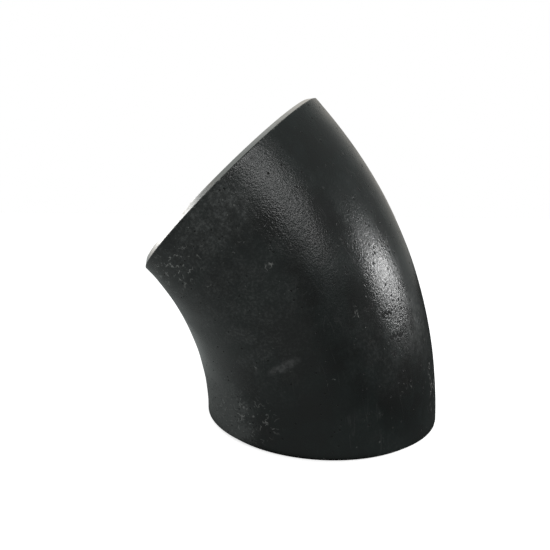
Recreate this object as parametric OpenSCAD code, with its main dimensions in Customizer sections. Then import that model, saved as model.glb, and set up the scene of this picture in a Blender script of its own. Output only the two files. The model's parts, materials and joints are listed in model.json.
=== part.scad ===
// 45 degree long-radius butt-weld pipe elbow, made in one piece from seamless pipe.
// It stands on its lower weld end. The origin is the centre of that end, +Z runs up into
// the bore, and the bend leans towards -X in the XZ plane. Lengths are millimetres.

/* [Pipe size] */
// Outside diameter at the weld ends
outside_d = 323.8; // [219.1:0.1:406.4]
// Thickness of the pipe wall
wall = 9.53; // [6:0.01:20]

/* [Bend] */
// Radius of the bend, to the centre of the bore
bend_r = 457.2; // [300:0.1:620]
// Angle that the pipe turns through
bend_angle = 45; // [30:0.5:90]

/* [Weld ends] */
// Angle of the weld bevel, from the plane of the end
bevel_angle = 37.5; // [20:0.5:45]
// Width of the flat root face between the bevel and the bore
root_face = 1.6; // [0.8:0.1:2.4]

/* [Hidden] */
$fn = 240;
outer_r = outside_d / 2;
bore_r = outer_r - wall;
root_r = bore_r + root_face;
// How far a cutting shape runs past the surface that it cuts
overrun = 2;
// The same for the bore, as an angle of the bend
bore_overrun_angle = 1;

// Turns a shape made for the lower end to the same place on the upper end
module at_upper_end() {
    translate([-bend_r + bend_r * cos(bend_angle), 0, bend_r * sin(bend_angle)])
    rotate([0, 180 - bend_angle, 0])
    children();
}

// A round rod of radius r bent along the centreline, longer by extra_angle at both ends
module curved_rod(r, extra_angle = 0) {
    translate([-bend_r, 0, 0])
    rotate([90, 0, 0])
    rotate([0, 0, -extra_angle])
    rotate_extrude(angle = bend_angle + 2 * extra_angle)
    translate([bend_r, 0])
    circle(r);
}

// What the bevel tool takes off the outside of the lower end
module bevel_cut() {
    cut_r = outer_r + overrun;
    rotate_extrude()
    polygon([
        [root_r, 0],
        [cut_r, (cut_r - root_r) * tan(bevel_angle)],
        [cut_r, -overrun],
        [root_r, -overrun]
    ]);
}

// The whole fitting: a bent tube with both ends bevelled for welding
module elbow_body() {
    color([0.16, 0.18, 0.18])
    difference() {
        curved_rod(outer_r);
        curved_rod(bore_r, bore_overrun_angle);
        bevel_cut();
        at_upper_end() bevel_cut();
    }
}

elbow_body();
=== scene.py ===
"""A 45 degree butt-weld pipe elbow, painted black, with bare machined weld ends.

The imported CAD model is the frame. One detailed mesh, the elbow, replaces the CAD solid: its painted skin
is slightly uneven, dented and pitted, its weld ends are turned and lightly nicked, and its bore is scaled.
Everything is in metres, in the CAD frame: the lower weld end stands on z = 0 round the origin, and the
bend leans towards -X. A point of the tube is given by its turn (the angle along the bend), its out
(the distance from the centreline) and its around (the angle round it, 0 on the outside of the bend,
negative on the side that the camera sees).
"""

import json
import math

import bpy
import numpy as np
from mathutils import Matrix, Vector

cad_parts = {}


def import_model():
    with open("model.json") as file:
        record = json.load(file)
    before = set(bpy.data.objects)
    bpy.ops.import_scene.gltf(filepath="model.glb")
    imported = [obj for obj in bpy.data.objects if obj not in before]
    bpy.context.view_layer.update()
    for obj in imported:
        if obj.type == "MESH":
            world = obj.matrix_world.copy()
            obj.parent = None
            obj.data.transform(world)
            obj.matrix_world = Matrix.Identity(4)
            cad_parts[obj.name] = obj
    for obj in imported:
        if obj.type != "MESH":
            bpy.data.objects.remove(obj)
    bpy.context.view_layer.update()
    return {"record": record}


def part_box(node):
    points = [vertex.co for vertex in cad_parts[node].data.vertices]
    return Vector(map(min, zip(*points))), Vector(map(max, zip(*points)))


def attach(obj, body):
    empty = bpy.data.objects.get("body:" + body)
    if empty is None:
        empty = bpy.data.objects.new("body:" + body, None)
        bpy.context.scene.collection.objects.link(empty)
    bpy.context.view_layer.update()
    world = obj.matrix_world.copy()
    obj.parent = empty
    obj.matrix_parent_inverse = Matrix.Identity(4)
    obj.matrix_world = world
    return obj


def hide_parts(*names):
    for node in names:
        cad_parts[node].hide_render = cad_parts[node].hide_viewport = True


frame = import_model()

# ---- Sizes taken from the frame ----
NODE = "elbow_body"
LOW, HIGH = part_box(NODE)
OUTER_R = min(HIGH.y, -LOW.y)
UPPER_END = next(m for m in frame["record"]["mounts"] if m["name"] == "upper_weld_end")
BEND_ANGLE = math.atan2(-UPPER_END["axis"][0], UPPER_END["axis"][2])
BEND_R = UPPER_END["pos_m"][2] / math.sin(BEND_ANGLE)
ARC_LENGTH = BEND_R * BEND_ANGLE

# ---- Sizes of the wall and the weld ends, as in the CAD ----
MM = 0.001
WALL = 9.53 * MM
ROOT_FACE = 1.6 * MM
BEVEL_SLOPE = math.tan(math.radians(37.5))
BORE_R = OUTER_R - WALL
ROOT_R = BORE_R + ROOT_FACE
BEVEL_DEPTH = (OUTER_R - ROOT_R) * BEVEL_SLOPE

# ---- How fine the mesh is ----
COARSE_STEP = 4 * MM
FINE_STEP = 0.8 * MM
BORE_STEP = 11 * MM
OD_ROUND = 0.55 * MM
ROOT_ROUND = 0.25 * MM
CORNER_STATIONS = (0.0, 0.3, 0.5, 0.7, 1.0)

# The pitted patch under the highlight, where the mesh is finest
PATCH_AROUND = math.radians(-59)
PATCH_ALONG = 142 * MM
PATCH_HALF_AROUND = 30 * MM
PATCH_HALF_ALONG = 40 * MM

# ---- How uneven the surface is ----
WAVE_COUNT = 16
WAVE_HEIGHT = 0.055 * MM
DENT_COUNT = 60
DENT_RADII = (7 * MM, 22 * MM)
DENT_DEPTHS = (0.03 * MM, 0.16 * MM)
PATCH_DENT_COUNT = 80
PATCH_DENT_RADII = (0.9 * MM, 1.6 * MM)
PATCH_DENT_DEPTHS = (0.03 * MM, 0.08 * MM)
GROOVE_WIDTH = 0.85 * MM
NICK_COUNT = 18
NICK_DOWN_BEVEL = 1.1 * MM
NICK_ALONG_SKIN = 1.4 * MM

# How far in from a weld end the unevenness of the skin, and that of the bore, begins and is full
SKIN_FADE = (0.5 * MM, 18 * MM)
BORE_FADE = (0, 20 * MM)

# The crooked grooves in that patch: degrees round, metres along, how many bends, and depth
GROOVES = (
    (-60, 0.147, 5, 0.22 * MM),
    (-59, 0.122, 7, 0.22 * MM),
    (-67, 0.160, 4, 0.18 * MM),
    (-60, 0.108, 3, 0.18 * MM),
    (-53, 0.118, 3, 0.14 * MM),
    (-63, 0.170, 2, 0.13 * MM),
    (-70, 0.128, 3, 0.12 * MM),
)
DEEPEST_GROOVE = max(row[-1] for row in GROOVES)

# The material slots of the elbow
PAINT, STEEL, BORE = range(3)


# ---- Shape of the tube ----
def on_tube(turn, out, around):
    """Points of the bent tube, as an array whose last axis is x, y, z."""
    reach = BEND_R + out * np.cos(around)
    x = reach * np.cos(turn) - BEND_R
    z = reach * np.sin(turn)
    y = out * np.sin(around) + 0 * turn
    return np.stack(np.broadcast_arrays(x, y, z), axis=-1)


def place_on_tube(points):
    """The turn, out and around of points: on_tube the other way round."""
    x, y, z = points[..., 0] + BEND_R, points[..., 1], points[..., 2]
    sideways = np.hypot(x, z) - BEND_R
    return np.arctan2(z, x), np.hypot(sideways, y), np.arctan2(y, sideways)


def from_ends(turn, out, around):
    """How far points lie in from the plane of the outer corner at the nearest weld end."""
    reach = BEND_R + out * np.cos(around)
    return np.minimum(reach * np.sin(turn), reach * np.sin(BEND_ANGLE - turn)) - BEVEL_DEPTH


def bevel_turn(around):
    """The turn at which the skin meets the bevel cone at each angle round, by a few rounds of correction."""
    depth = np.full_like(around, BEVEL_DEPTH)
    reach = BEND_R + OUTER_R * np.cos(around)
    for _ in range(6):
        turn = np.arcsin(depth / reach)
        radius = np.hypot(reach * np.cos(turn) - BEND_R, OUTER_R * np.sin(around))
        depth = (radius - ROOT_R) * BEVEL_SLOPE
    return turn


def graded(length, centre, half_width):
    """Places from 0 to length, a coarse step apart, but closing up to a fine step round centre."""
    places = [0.0]
    while places[-1] < length:
        near = math.exp(-(((places[-1] - centre) / half_width) ** 2))
        places.append(places[-1] + COARSE_STEP + (FINE_STEP - COARSE_STEP) * near)
    return np.array(places) * length / places[-1]


def rounded_corner(before, corner, after, size):
    """Rings of points that round a corner between two neighbouring rings."""

    def towards(ring):
        step = ring - corner
        return corner + size * step / np.linalg.norm(step, axis=-1, keepdims=True)

    first, last = towards(before), towards(after)
    return [(1 - t) ** 2 * first + 2 * t * (1 - t) * corner + t**2 * last for t in CORNER_STATIONS]


def between(start, end, shares):
    """Rings at these shares of the way between two rings."""
    return [start + (end - start) * share for share in shares]


def elbow_rings(around, along):
    """All rings of the closed mesh, with the material of the strip that follows each one."""
    first_turn = bevel_turn(around)
    skin_turns = BEND_ANGLE - 2 * first_turn

    def skin(share):
        return on_tube(first_turn + share * skin_turns, OUTER_R, around)

    def bore(share):
        return on_tube(BEND_ANGLE * (1 - share), BORE_R, around)

    rings, strips = [], []

    def add(new, material):
        rings.extend(new)
        strips.extend([material] * len(new))

    low_od, high_od = skin(0.0), skin(1.0)
    low_root, high_root = on_tube(0.0, ROOT_R, around), on_tube(BEND_ANGLE, ROOT_R, around)
    low_bore, high_bore = bore(1.0), bore(0.0)
    margin = 2 * OD_ROUND / ARC_LENGTH
    inner = along[(along > margin) & (along < 1 - margin)]
    bevel_shares = (0.13, 0.3, 0.5, 0.7, 0.87)
    face_shares = (0.35, 0.65)
    just_in, just_out = 0.02, 0.98

    add(rounded_corner(low_root, low_od, skin(just_in), OD_ROUND), PAINT)
    add([skin(share) for share in inner], PAINT)
    add(rounded_corner(skin(just_out), high_od, high_root, OD_ROUND), PAINT)
    add(between(high_od, high_root, bevel_shares), STEEL)
    add(rounded_corner(high_od, high_root, high_bore, ROOT_ROUND), STEEL)
    add(between(high_root, high_bore, face_shares), STEEL)
    add(rounded_corner(high_root, high_bore, bore(just_in), ROOT_ROUND), STEEL)
    bore_shares = np.linspace(0, 1, round(ARC_LENGTH / BORE_STEP) + 1)[1:-1]
    add([bore(share) for share in (0.003, 0.01, *bore_shares, 0.99, 0.997)], BORE)
    add(rounded_corner(bore(just_out), low_bore, low_root, ROOT_ROUND), STEEL)
    add(between(low_bore, low_root, face_shares), STEEL)
    add(rounded_corner(low_bore, low_root, low_od, ROOT_ROUND), STEEL)
    add(between(low_root, low_od, bevel_shares), STEEL)
    return np.array(rings), np.array(strips)


# ---- Unevenness of the skin ----
def smooth(value, start, end):
    """A smooth rise from 0 to 1 while value goes from start to end."""
    share = np.clip((value - start) / (end - start), 0, 1)
    return share * share * (3 - 2 * share)


def waviness(around, along):
    """Long shallow waves, left by the hot bending."""
    rng = np.random.default_rng(11)
    total = np.zeros_like(around)
    for _ in range(WAVE_COUNT):
        lobes = rng.integers(2, 15)
        wavelength = rng.uniform(55, 240) * MM
        height = WAVE_HEIGHT * rng.uniform(0.4, 1)
        total += height * np.cos(lobes * around + 2 * math.pi * along / wavelength + rng.uniform(0, 7))
    return total.max() - total


def dents(across, along, rng, count, radii, depths, limits):
    """Round and oval shallow hollows at random places within the limits."""
    total = np.zeros_like(across)
    for _ in range(count):
        dx = across - rng.uniform(*limits[0])
        dy = along - rng.uniform(*limits[1])
        radius = rng.uniform(*radii)
        angle = rng.uniform(0, math.pi)
        stretch = rng.uniform(1, 1.7)
        longways = (dx * math.cos(angle) + dy * math.sin(angle)) / stretch
        sideways = dy * math.cos(angle) - dx * math.sin(angle)
        hollow = rng.uniform(*depths) * np.exp(-(longways**2 + sideways**2) / radius**2)
        total = np.maximum(total, hollow)
    return total


def channel(across, along, path, width, depth):
    """A narrow groove along a path, deepest on it."""
    nearest = np.full_like(across, 1.0)
    for (x0, y0), (x1, y1) in zip(path, path[1:]):
        dx, dy = x1 - x0, y1 - y0
        share = np.clip(((across - x0) * dx + (along - y0) * dy) / (dx * dx + dy * dy), 0, 1)
        nearest = np.minimum(nearest, np.hypot(across - x0 - share * dx, along - y0 - share * dy))
    return depth * np.exp(-((nearest / width) ** 2))


def grooves(around, along):
    """Crooked little channels where scale was rolled into the steel and fell out."""
    rng = np.random.default_rng(8)
    total = np.zeros_like(around)
    for at_around, at_along, bends, depth in GROOVES:
        x, y = math.radians(at_around) * OUTER_R, at_along
        heading = rng.uniform(-0.3, 0.3)
        path = [(x, y)]
        for bend in range(bends):
            slant = heading + (1 if bend % 2 else -1) * rng.uniform(0.5, 1.1)
            step = rng.uniform(3.6, 6.0) * MM
            x, y = x + step * math.cos(slant), y + step * math.sin(slant)
            path.append((x, y))
        total = np.maximum(total, channel(around * OUTER_R, along, path, GROOVE_WIDTH, depth))
    return total


def sunk(points):
    """How far each point of the outer skin lies inside the true torus."""
    turn, out, around = place_on_tube(points)
    depth = waviness(around, turn * BEND_R)
    rng = np.random.default_rng(5)
    across, along = around * OUTER_R, turn * (BEND_R + OUTER_R * np.cos(around))
    whole = ((-math.pi * OUTER_R, math.pi * OUTER_R), (0.02, 1.2 * ARC_LENGTH))
    depth += dents(across, along, rng, DENT_COUNT, DENT_RADII, DENT_DEPTHS, whole)
    centre = PATCH_AROUND * OUTER_R, PATCH_ALONG * (1 + OUTER_R / BEND_R * math.cos(PATCH_AROUND))
    patch = [(c - h, c + h) for c, h in zip(centre, (PATCH_HALF_AROUND, PATCH_HALF_ALONG))]
    depth += dents(across, along, rng, PATCH_DENT_COUNT, PATCH_DENT_RADII, PATCH_DENT_DEPTHS, patch)
    depth += grooves(around, turn * BEND_R)
    return depth * smooth(from_ends(turn, OUTER_R, around), *SKIN_FADE)


def nicks(points):
    """Small knocks on the outer corners of the weld ends."""
    turn, out, around = place_on_tube(points)
    upper = turn > BEND_ANGLE / 2
    rng = np.random.default_rng(3)
    total = np.zeros_like(around)
    for _ in range(NICK_COUNT):
        middle = rng.uniform(-math.pi, math.pi)
        at_upper = rng.random() < 0.5
        width = rng.uniform(1.6, 4.5) * MM / OUTER_R
        off = (around - middle + math.pi) % (2 * math.pi) - math.pi
        knock = rng.uniform(0.1, 0.35) * MM * np.exp(-((off / width) ** 2))
        total = np.maximum(total, (upper == at_upper) * knock)
    return total


def uneven(rings):
    """The rings with their skin sunk, their outer corners nicked and their bore waving towards the axis."""
    turn, out, around = place_on_tube(rings)
    inwards = (on_tube(turn, 0.0, around) - rings) / out[..., None]
    inset = from_ends(turn, OUTER_R, around)
    near_corner = np.exp(-(((OUTER_R - out) / NICK_DOWN_BEVEL) ** 2))
    near_corner = near_corner * np.exp(-((np.maximum(inset, 0) / NICK_ALONG_SKIN) ** 2))
    outer_half = out > OUTER_R - 0.5 * WALL
    on_skin = out > OUTER_R - 0.1 * MM
    in_bore = out < BORE_R + 0.1 * MM
    depth = np.where(outer_half, sunk(rings) * on_skin + nicks(rings) * near_corner, 0)
    bore_waves = waviness(around + 1, turn * BEND_R + 0.1) * smooth(inset, *BORE_FADE)
    return rings + inwards * np.where(in_bore, bore_waves, depth)[..., None]


# ---- The mesh ----
def build_elbow():
    """The elbow as one closed mesh of quads, ring after ring from the lower outer corner and back to it."""
    circumference = 2 * math.pi * OUTER_R
    patch_place = (PATCH_AROUND % (2 * math.pi)) * OUTER_R
    around = graded(circumference, patch_place, PATCH_HALF_AROUND)[:-1] / OUTER_R
    along = graded(ARC_LENGTH, PATCH_ALONG, PATCH_HALF_ALONG) / ARC_LENGTH
    smooth_rings, strips = elbow_rings(around, along)
    rings = uneven(smooth_rings)
    ring_count, round_count = rings.shape[:2]
    index = np.arange(ring_count * round_count).reshape(ring_count, round_count)
    following = np.roll(index, -1, axis=0)
    corners = [index, np.roll(index, -1, axis=1), np.roll(following, -1, axis=1), following]
    quads = np.stack(corners, axis=-1).reshape(-1, 4)
    mesh = bpy.data.meshes.new("elbow")
    mesh.from_pydata(rings.reshape(-1, 3).tolist(), [], quads.tolist())
    mesh.polygons.foreach_set("material_index", np.repeat(strips, round_count).astype(np.int32))
    mesh.polygons.foreach_set("use_smooth", np.ones(len(quads), bool))
    add_coordinates(mesh, smooth_rings.reshape(-1, 3))
    mesh.update()
    piece = bpy.data.objects.new("elbow", mesh)
    bpy.context.scene.collection.objects.link(piece)
    return piece


def add_coordinates(mesh, points):
    """Coordinates for the materials.

    straight: where a point would be if the tube were straight, seamless all round.
    turned: nearly constant round a weld end, and the distance out, so that marks run round the end.
    inset: the distance in from the outer corner of the nearest weld end, square to that end.
    groove: 1 at the bottom of the deepest groove, 0 on the plain skin.
    """
    turn, out, around = place_on_tube(points)
    straight = np.stack([out * np.cos(around), out * np.sin(around), turn * BEND_R], axis=-1)
    turned = np.stack([3 * MM * np.cos(around), 3 * MM * np.sin(around), out], axis=-1)
    inset = from_ends(turn, out, around)
    groove = np.where(out > BORE_R + WALL / 2, grooves(around, turn * BEND_R), 0) / DEEPEST_GROOVE
    for name, kind, values in (
        ("groove", "FLOAT", groove),
        ("straight", "FLOAT_VECTOR", straight),
        ("turned", "FLOAT_VECTOR", turned),
        ("inset", "FLOAT", inset),
    ):
        attribute = mesh.attributes.new(name, kind, "POINT")
        attribute.data.foreach_set("vector" if kind == "FLOAT_VECTOR" else "value", values.ravel())


# ---- Node helpers ----
class Finish:
    """A material with a Principled shader, and short ways to add nodes to it."""

    def __init__(self, name):
        self.material = bpy.data.materials.new(name)
        self.material.use_nodes = True
        self.tree = self.material.node_tree
        self.shader = self.tree.nodes["Principled BSDF"]

    def plug(self, socket, value):
        """Link a node's output to the socket, or set the socket to a constant."""
        if isinstance(value, bpy.types.NodeSocket):
            self.tree.links.new(value, socket)
        else:
            socket.default_value = value

    def set(self, **inputs):
        """Plug values into the shader's inputs, each named with _ for a space."""
        for name, value in inputs.items():
            self.plug(self.shader.inputs[name.replace("_", " ")], value)

    def node(self, kind, **inputs):
        """A new node of this kind, with values plugged into its inputs."""
        made = self.tree.nodes.new("ShaderNode" + kind)
        for name, value in inputs.items():
            self.plug(made.inputs[name.replace("_", " ")], value)
        return made

    def attribute(self, name, output="Vector"):
        made = self.node("Attribute")
        made.attribute_name = name
        return made.outputs[output]

    def noise(self, vector, size, detail=2.0, rough=0.5):
        """Noise whose features are about this size in metres."""
        made = self.node("TexNoise", Vector=vector, Scale=1 / size, Detail=detail, Roughness=rough)
        return made.outputs["Fac"]

    def ramp(self, value, start, end, low=0.0, high=1.0):
        """A smooth rise from low to high while value goes from start to end."""
        made = self.node("MapRange")
        made.interpolation_type = "SMOOTHSTEP"
        for socket, setting in zip(made.inputs, (value, start, end, low, high)):
            self.plug(socket, setting)
        return made.outputs["Result"]

    def math(self, operation, first, second=0.0):
        made = self.node("Math")
        made.operation = operation
        self.plug(made.inputs[0], first)
        self.plug(made.inputs[1], second)
        return made.outputs[0]

    def times(self, *factors):
        result = factors[0]
        for factor in factors[1:]:
            result = self.math("MULTIPLY", result, factor)
        return result

    def plus(self, *terms):
        result = terms[0]
        for term in terms[1:]:
            result = self.math("ADD", result, term)
        return result

    def mix(self, share, first, second):
        """A colour that goes from first to second as share goes from 0 to 1."""
        made = self.node("Mix")
        made.data_type = "RGBA"
        for name, value in (("Factor_Float", share), ("A_Color", first), ("B_Color", second)):
            self.plug(next(s for s in made.inputs if s.identifier == name), value)
        return next(s for s in made.outputs if s.identifier == "Result_Color")

    def lines(self, vector, size, half_width):
        """Thin wandering lines, where noise of this size passes its middle value."""
        off_middle = self.math("ABSOLUTE", self.math("SUBTRACT", self.noise(vector, size, 1.0), 0.5))
        return self.ramp(off_middle, half_width, 0.0)

    def spot(self, vector, around, along, half_long, half_wide, core=0.3, tilt=0.0):
        """A soft oval spot on the skin, at an angle round it and a distance along it in metres.

        It is half_long round the tube and half_wide along it, turned by tilt degrees, and full in its core.
        """
        angle = math.radians(around)
        radial = Vector((math.cos(angle), math.sin(angle), 0))
        across = Vector((-math.sin(angle), math.cos(angle), 0))
        lengthways = Vector((0, 0, 1))
        turned = math.radians(tilt)
        long_axis = across * math.cos(turned) + lengthways * math.sin(turned)
        wide_axis = lengthways * math.cos(turned) - across * math.sin(turned)
        made = self.node("Mapping", Vector=vector)
        made.vector_type = "TEXTURE"
        made.inputs["Location"].default_value = radial * OUTER_R + lengthways * along
        axes = Matrix((long_axis, wide_axis, radial)).transposed()
        made.inputs["Rotation"].default_value = axes.to_euler()
        made.inputs["Scale"].default_value = (half_long, half_wide, max(half_long, half_wide))
        far = self.node("VectorMath", Vector=made.outputs["Vector"])
        far.operation = "LENGTH"
        return self.ramp(far.outputs["Value"], 1.0, core)

    def spots(self, vector, rows):
        """Several spots added up: each row is a strength, and then what spot() takes."""
        return self.plus(*(self.times(strength, self.spot(vector, *place)) for strength, *place in rows))

    def bump(self, *layers):
        """Bump from layers of (height, depth in metres), set as the shader's normal."""
        normal = None
        for height, depth in layers:
            made = self.node("Bump", Height=height, Strength=1.0, Distance=depth)
            if normal is not None:
                self.plug(made.inputs["Normal"], normal)
            normal = made.outputs["Normal"]
        self.set(Normal=normal)


# ---- Materials ----
def grey(value, tint=(1.0, 1.0, 1.0)):
    """A colour this bright, with a slight tint."""
    return tuple(value * part for part in tint) + (1.0,)


# Spots on the paint: strength, degrees round, metres along, half length, half width, core and tilt
# Dust spots and painted sheen: the rows at -100 and -132 degrees near the top lighten the start of the
# streak, and the rows at -38 and -62 degrees lighten round the lower end of the highlight
DUST_AND_SHEEN_SPOTS = (
    (3.0, -150, 0.045, 0.088, 0.1, 0.3),
    (0.48, -120, 0.22, 0.12, 0.19, 0.2),
    (0.9, -100, 0.33, 0.075, 0.05, 0.1),
    (0.45, -132, 0.33, 0.08, 0.05, 0.1),
    (0.6, -38, 0.12, 0.045, 0.06, 0.1),
    (0.22, -62, 0.12, 0.075, 0.075, 0.1),
    (0.6, 100, 0.12, 0.12, 0.11, 0.0),
    (0.6, 165, 0.25, 0.11, 0.12, 0.0),
)
SCUFF_SPOTS = (
    (1.0, -106, 0.125, 0.028, 0.008, 0.3, 17),
    (0.5, 60, 0.2, 0.03, 0.006, 0.3, -35),
    (0.5, 140, 0.09, 0.035, 0.007, 0.3, 25),
)
TICK_SPOTS = (
    (1.4, -138, 0.31, 0.085, 0.045, 0.2),
    (0.7, -132, 0.05, 0.07, 0.05, 0.3),
    (0.8, -30, 0.05, 0.02, 0.04, 0.3),
    (0.6, 70, 0.28, 0.11, 0.07, 0.0),
    (0.7, 145, 0.09, 0.1, 0.07, 0.0),
)


def coarseness(f, straight, mottle, near_pits):
    """Where the paint is grainy: more in the upper part, and most under the highlight and at the streak."""
    height = f.node("SeparateXYZ", Vector=straight).outputs["Z"]
    broad = f.times(f.ramp(height, 0.09, 0.25, 0.2, 0.7), f.ramp(mottle, 0.36, 0.6, 0.5, 1.0))
    near_top = f.spot(straight, -84, 0.31, 0.09, 0.1, core=0.4)
    return f.math("MAXIMUM", broad, f.math("MAXIMUM", f.times(near_pits, 0.85), near_top))


def dust_and_sheen_haze(f, straight, mottle, cloud, dust_and_sheen_spots):
    """Dust in clouds and motes, in the dusty spots and thinly elsewhere, and painted sheen in the spots that
    stand in for light.
    """
    motes = f.ramp(f.noise(straight, 3.2 * MM, 3.0, 0.65), 0.42, 0.68)
    haze = f.times(f.ramp(cloud, 0.36, 0.66, 0.4, 1.1), f.plus(0.45, motes))
    return f.times(haze, f.plus(dust_and_sheen_spots, f.ramp(mottle, 0.45, 0.75, 0.0, 0.1)))


def bare_ticks(f, straight):
    """Short bare ticks, in clusters."""
    broken = f.ramp(f.noise(straight, 10 * MM, 2.0), 0.5, 0.56)
    anywhere = f.ramp(f.noise(straight, 30 * MM, 3.0, 0.6), 0.62, 0.72, 0.0, 0.6)
    clusters = f.math("MINIMUM", f.plus(f.spots(straight, TICK_SPOTS), anywhere), 1.0)
    return f.times(f.lines(straight, 9 * MM, 0.044), broken, clusters)


def fine_scratches(f, straight):
    """Thin scratches, drawn out along the tube."""
    stretched = f.node("VectorMath", Vector=straight)
    stretched.operation = "MULTIPLY"
    stretched.inputs[1].default_value = (1.0, 1.0, 0.16)
    patchy = f.ramp(f.noise(straight, 30 * MM, 3.0), 0.5, 0.6)
    return f.times(f.lines(stretched.outputs["Vector"], 14 * MM, 0.018), patchy)


def specks_and_pits(f, straight, dust_and_sheen_spots, near_pits):
    """Light specks in the dust and sheen spots, and pinholes, most of them near the pitted patch;
    black_paint paints the pinholes dark as painted shade.
    """
    cells = f.node("TexVoronoi", Vector=straight, Scale=1 / (6 * MM))
    chosen = f.node("SeparateColor", Color=cells.outputs["Color"]).outputs
    specks = f.times(
        f.ramp(cells.outputs["Distance"], 0.13, 0.05),
        f.ramp(chosen["Red"], 0.7, 0.72),
        f.math("MINIMUM", f.times(dust_and_sheen_spots, 0.9), 1.0),
    )
    chance = f.plus(chosen["Green"], f.times(near_pits, 0.42))
    pits = f.times(f.ramp(cells.outputs["Distance"], 0.27, 0.16), f.ramp(chance, 0.85, 0.89))
    return specks, pits


def black_paint():
    """Thin satin black paint over rolled steel, dusty and scuffed, with bare flecks and worn corners,
    painted sheen in a few spots and painted shade in its pits and grooves.
    """
    f = Finish("black_paint")
    straight = f.attribute("straight")
    inset = f.attribute("inset", "Fac")
    groove = f.attribute("groove", "Fac")
    mottle = f.noise(straight, 55 * MM, 5.0, 0.6)
    cloud = f.noise(straight, 22 * MM, 6.0, 0.68)
    grain = f.noise(straight, 2.2 * MM, 2.0, 0.65)
    near_pits = f.spot(straight, -52, 0.18, 0.05, 0.12, core=0.45)

    # The marks, each from 0 to about 1
    # Dust, with painted sheen in some of its spots
    dust_and_sheen_spots = f.spots(straight, DUST_AND_SHEEN_SPOTS)
    dust = dust_and_sheen_haze(f, straight, mottle, cloud, dust_and_sheen_spots)
    smeared = f.ramp(f.noise(straight, 6 * MM, 5.0, 0.7), 0.3, 0.62)
    scuff = f.times(f.spots(straight, SCUFF_SPOTS), smeared)
    ticks = bare_ticks(f, straight)
    scratches = fine_scratches(f, straight)
    stains = f.times(f.ramp(cloud, 0.56, 0.7), f.ramp(mottle, 0.5, 0.62))
    specks, pits = specks_and_pits(f, straight, dust_and_sheen_spots, near_pits)
    # hollows: the pits and grooves, which get painted shade (near black colour) and more roughness
    hollows = f.math("MAXIMUM", pits, f.ramp(groove, 0.1, 0.42))
    corner = f.ramp(inset, 1.3 * MM, -0.2 * MM)
    worn = f.times(corner, f.ramp(f.noise(straight, 4 * MM, 4.0, 0.65), 0.56, 0.64))

    neutral_black, green_black = grey(0.0125, (0.95, 1.0, 0.98)), grey(0.0145, (0.78, 1.05, 1.0))
    colour = f.mix(f.ramp(mottle, 0.35, 0.65), neutral_black, green_black)
    # Lighter where dust lies, and painted sheen where a spot stands in for light
    colour = f.mix(f.math("MINIMUM", dust, 1.0), colour, grey(0.092, (0.96, 1.0, 0.98)))
    colour = f.mix(scuff, colour, grey(0.09))
    colour = f.mix(f.times(stains, 0.5), colour, grey(0.006))
    colour = f.mix(f.times(scratches, 0.22), colour, grey(0.075))
    colour = f.mix(f.math("MINIMUM", f.plus(ticks, specks), 1.0), colour, grey(0.36, (1.0, 0.99, 0.96)))
    # Painted shade in the pits and grooves
    colour = f.mix(f.times(hollows, 0.85), colour, grey(0.004))
    colour = f.mix(worn, colour, grey(0.3, (1.0, 0.98, 0.94)))
    rough = f.plus(
        f.ramp(mottle, 0.3, 0.7, 0.235, 0.32),
        f.times(dust, 0.15),
        f.times(scuff, 0.12),
        f.times(stains, 0.1),
        f.times(hollows, 0.6),
    )
    f.set(Base_Color=colour, Roughness=rough, Metallic=f.times(worn, 0.8))
    f.bump(
        (f.noise(straight, 9 * MM, 2.0), 0.06 * MM),
        (f.times(grain, coarseness(f, straight, mottle, near_pits)), 0.5 * MM),
        (cloud, 0.1 * MM),
        (f.times(pits, -1.0), 0.16 * MM),
        (f.plus(f.times(ticks, -1.0), f.times(scratches, -0.6), f.times(worn, -0.8)), 0.05 * MM),
    )
    return f.material


def bare_steel():
    """Turned steel: marks run round the end, the root face is darker, fading out just up the bevel, and the
    edge has some overspray.
    """
    f = Finish("bare_steel")
    straight = f.attribute("straight")
    turned = f.attribute("turned")
    inset = f.attribute("inset", "Fac")
    marks = f.noise(turned, 0.7 * MM, 3.0, 0.6)
    broad = f.noise(turned, 2.2 * MM, 2.0)
    stain = f.ramp(f.noise(straight, 16 * MM, 5.0, 0.65), 0.5, 0.72)
    ragged = f.ramp(f.noise(straight, 3 * MM, 4.0, 0.7), 0.3, 0.75, -0.9 * MM, 0.9 * MM)
    overspray = f.ramp(f.plus(inset, ragged), -1.1 * MM, -0.2 * MM)
    dark_steel, light_steel = grey(0.52, (1.0, 0.99, 0.97)), grey(0.66, (1.0, 0.99, 0.98))
    colour = f.mix(f.ramp(broad, 0.35, 0.65), dark_steel, light_steel)
    colour = f.mix(f.times(stain, 0.35), colour, grey(0.36, (1.0, 0.86, 0.72)))
    out = f.node("SeparateXYZ", Vector=turned).outputs["Z"]
    # Darker on the root face, fading out just up the bevel
    land = f.ramp(out, ROOT_R + 0.25 * MM, ROOT_R - 0.05 * MM)
    colour = f.mix(f.times(land, 0.6), colour, grey(0.2, (1.0, 0.97, 0.92)))
    colour = f.mix(overspray, colour, grey(0.012))
    rough = f.plus(f.ramp(marks, 0.3, 0.7, 0.2, 0.32), f.times(stain, 0.12))
    f.set(Base_Color=colour, Roughness=rough, Metallic=f.ramp(overspray, 0.4, 0.6, 1.0, 0.0))
    f.bump((marks, 0.012 * MM), (f.noise(straight, 2 * MM, 3.0), 0.006 * MM))
    return f.material


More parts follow.
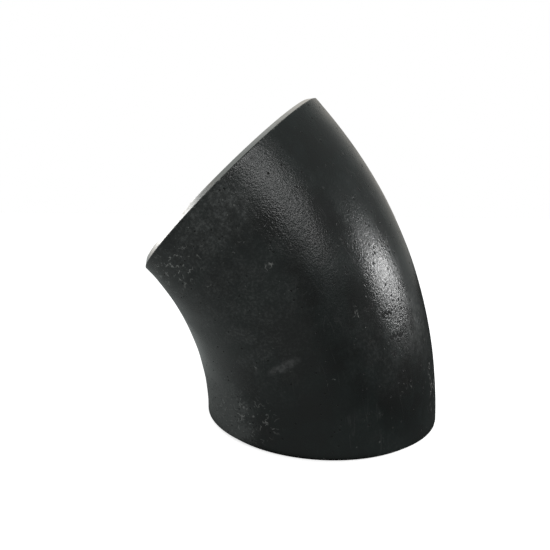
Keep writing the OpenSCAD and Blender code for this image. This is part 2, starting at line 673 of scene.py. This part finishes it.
def bore_scale():
    """Dark mill scale inside, with brown rust blooms and black overspray near the ends."""
    f = Finish("bore_scale")
    straight = f.attribute("straight")
    inset = f.attribute("inset", "Fac")
    cloud = f.noise(straight, 30 * MM, 6.0, 0.65)
    fine = f.noise(straight, 3 * MM, 4.0, 0.7)
    rust = f.times(f.ramp(cloud, 0.48, 0.66), f.ramp(fine, 0.35, 0.65, 0.4, 1.0))
    ragged = f.ramp(cloud, 0.3, 0.7, -12 * MM, 12 * MM)
    overspray = f.ramp(f.plus(inset, ragged), 26 * MM, 6 * MM)
    dark_scale, light_scale = grey(0.036, (0.95, 1.0, 1.05)), grey(0.062, (1.0, 0.98, 0.95))
    colour = f.mix(f.ramp(fine, 0.3, 0.7), dark_scale, light_scale)
    colour = f.mix(f.times(rust, 0.7), colour, grey(0.085, (1.25, 0.82, 0.55)))
    colour = f.mix(f.times(overspray, 0.85), colour, grey(0.014))
    rough = f.plus(f.ramp(fine, 0.3, 0.7, 0.42, 0.58), f.times(rust, 0.2), f.times(overspray, -0.08))
    f.set(Base_Color=colour, Roughness=rough)
    f.bump((cloud, 0.25 * MM), (fine, 0.12 * MM), (f.noise(straight, 0.9 * MM), 0.04 * MM))
    return f.material


# ---- Stage and light ----
# How bright the elbow sees the wall behind, the room, the ceiling and the floor on the left
BEHIND = 0.7
ROOM = 0.2
CEILING = 0.12
LEFT_POOL = 0.47
WHITE = (1, 1, 1, 1)
WARM_WHITE = (1.0, 0.95, 0.87, 1)
COOL_WHITE = (0.93, 1.0, 0.98, 1)
FLOOR_SIZE = 12.0


def floor():
    """A white floor that glows. What the object reflects of it glows bright behind and on the left and is
    dark in front, and the camera sees a painted shadow where the object stands.
    """
    mesh = bpy.data.meshes.new("floor")
    signs = ((-1, -1), (1, -1), (1, 1), (-1, 1))
    mesh.from_pydata([(x * FLOOR_SIZE, y * FLOOR_SIZE, 0) for x, y in signs], [], [(0, 1, 2, 3)])
    made = bpy.data.objects.new("floor", mesh)
    bpy.context.scene.collection.objects.link(made)
    f = Finish("floor")
    place = f.node("TexCoord").outputs["Object"]
    seen = f.node("LightPath").outputs["Is Camera Ray"]
    axes = f.node("SeparateXYZ", Vector=place).outputs
    from_object = f.node("VectorMath", Vector=place)
    from_object.operation = "LENGTH"

    # Nothing glows close to the elbow, and the camera sees a faint painted shadow round it and darker
    # painted shade inside it
    clear = f.ramp(from_object.outputs["Value"], 0.158, 0.185)
    outside_painted_shadow = f.ramp(from_object.outputs["Value"], 0.11, 0.172)
    behind = f.times(f.ramp(axes["Y"], 0.0, 0.45, 0.0, 0.42 * BEHIND), f.ramp(axes["X"], 0.4, 0.0))
    left = f.times(
        f.ramp(axes["X"], -0.12, -0.3),
        f.ramp(axes["Y"], -0.52, -0.06),
        f.ramp(axes["X"], -0.26, -0.52, LEFT_POOL, 0.3 * LEFT_POOL),
    )
    room = f.ramp(axes["X"], -0.05, 0.22, ROOM, 0.02)
    pools = f.times(clear, f.math("MAXIMUM", f.math("MAXIMUM", behind, left), room))
    f.set(
        Base_Color=f.ramp(seen, 0, 1, 0.03, 0.8),
        Roughness=0.9,
        Specular_IOR_Level=0.0,
        Emission_Color=f.mix(seen, COOL_WHITE, WHITE),
        Emission_Strength=f.math("MAXIMUM", pools, f.times(seen, 0.9, outside_painted_shadow)),
    )
    mesh.materials.append(f.material)


class Sky(Finish):
    """The world, with the same short ways to add nodes."""

    def __init__(self):
        self.world = bpy.data.worlds.new("studio")
        self.world.use_nodes = True
        self.tree = self.world.node_tree
        self.shader = self.tree.nodes["Background"]


def world():
    """White to the camera. What the object reflects is a bright wall behind it and a dark room in front."""
    sky = Sky()
    way = sky.node("SeparateXYZ", Vector=sky.node("TexCoord").outputs["Generated"]).outputs
    turned = sky.plus(way["Y"], sky.times(way["X"], -0.12))
    wall = sky.plus(sky.ramp(turned, 0.35, 1.0, ROOM, BEHIND), sky.ramp(way["Z"], 0.1, 0.9, 0, CEILING))
    seen = sky.node("LightPath").outputs["Is Camera Ray"]
    unseen = sky.mix(sky.ramp(turned, 0.35, 1.0), COOL_WHITE, WARM_WHITE)
    sky.set(Color=sky.mix(seen, unseen, WHITE), Strength=sky.math("MAXIMUM", wall, seen))
    bpy.context.scene.world = sky.world


def softbox(name, position, aim, width, height, radiance, roll=0):
    """An oval area light that looks this bright, from position towards aim."""
    data = bpy.data.lights.new(name, "AREA")
    data.shape = "ELLIPSE"
    data.size, data.size_y = width, height
    data.energy = radiance * math.pi * (math.pi / 4 * width * height)
    lamp = bpy.data.objects.new(name, data)
    facing = (Vector(aim) - Vector(position)).to_track_quat("-Z", "Y").to_matrix().to_4x4()
    rolled = Matrix.Rotation(math.radians(roll), 4, "Z")
    lamp.matrix_world = Matrix.Translation(position) @ facing @ rolled
    lamp.visible_camera = False
    bpy.context.scene.collection.objects.link(lamp)


def camera():
    """The camera of the photograph, fitted to the outline of the object."""
    position = (-0.07719, -0.68393, 0.29221)
    azimuth, elevation, roll = (math.radians(angle) for angle in (-0.66, 7.046, 0.655))
    data = bpy.data.cameras.new("camera")
    data.lens = 31.79
    data.sensor_width = 36
    data.shift_x = 0.0018
    data.shift_y = -0.0169
    made = bpy.data.objects.new("camera", data)
    right = Vector((math.cos(azimuth), math.sin(azimuth), 0))
    level = math.cos(elevation)
    back = Vector((level * math.sin(azimuth), -level * math.cos(azimuth), math.sin(elevation)))
    up = back.cross(right)
    x_axis = right * math.cos(roll) + up * math.sin(roll)
    y_axis = up * math.cos(roll) - right * math.sin(roll)
    facing = Matrix((x_axis, y_axis, back)).transposed().to_4x4()
    made.matrix_world = Matrix.Translation(position) @ facing
    bpy.context.scene.collection.objects.link(made)
    bpy.context.scene.camera = made


# ---- The elbow, its looks and its stage ----
elbow = build_elbow()
for finish in (black_paint(), bare_steel(), bore_scale()):
    elbow.data.materials.append(finish)
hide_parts(NODE)
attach(elbow, "root")

floor()
world()

# The highlight on the right, the streak at the upper left, the streak's bright start, and the left rim
softbox("key", (1.37, -0.195, 0.465), (0.07, -0.12, 0.2), 0.3, 0.3, 39)
softbox("fill", (0.47, -1.6, 0.99), (-0.05, -0.15, 0.28), 1.15, 0.36, 6.6, roll=-40)
softbox("fill_top", (0.12, -1.65, 1.29), (-0.05, -0.15, 0.28), 0.36, 0.3, 9)
softbox("back_left", (-1.6, 0.95, 0.75), (-0.13, 0, 0.3), 1.1, 0.9, 2)
camera()
bpy.context.scene.view_settings.view_transform = "Standard"
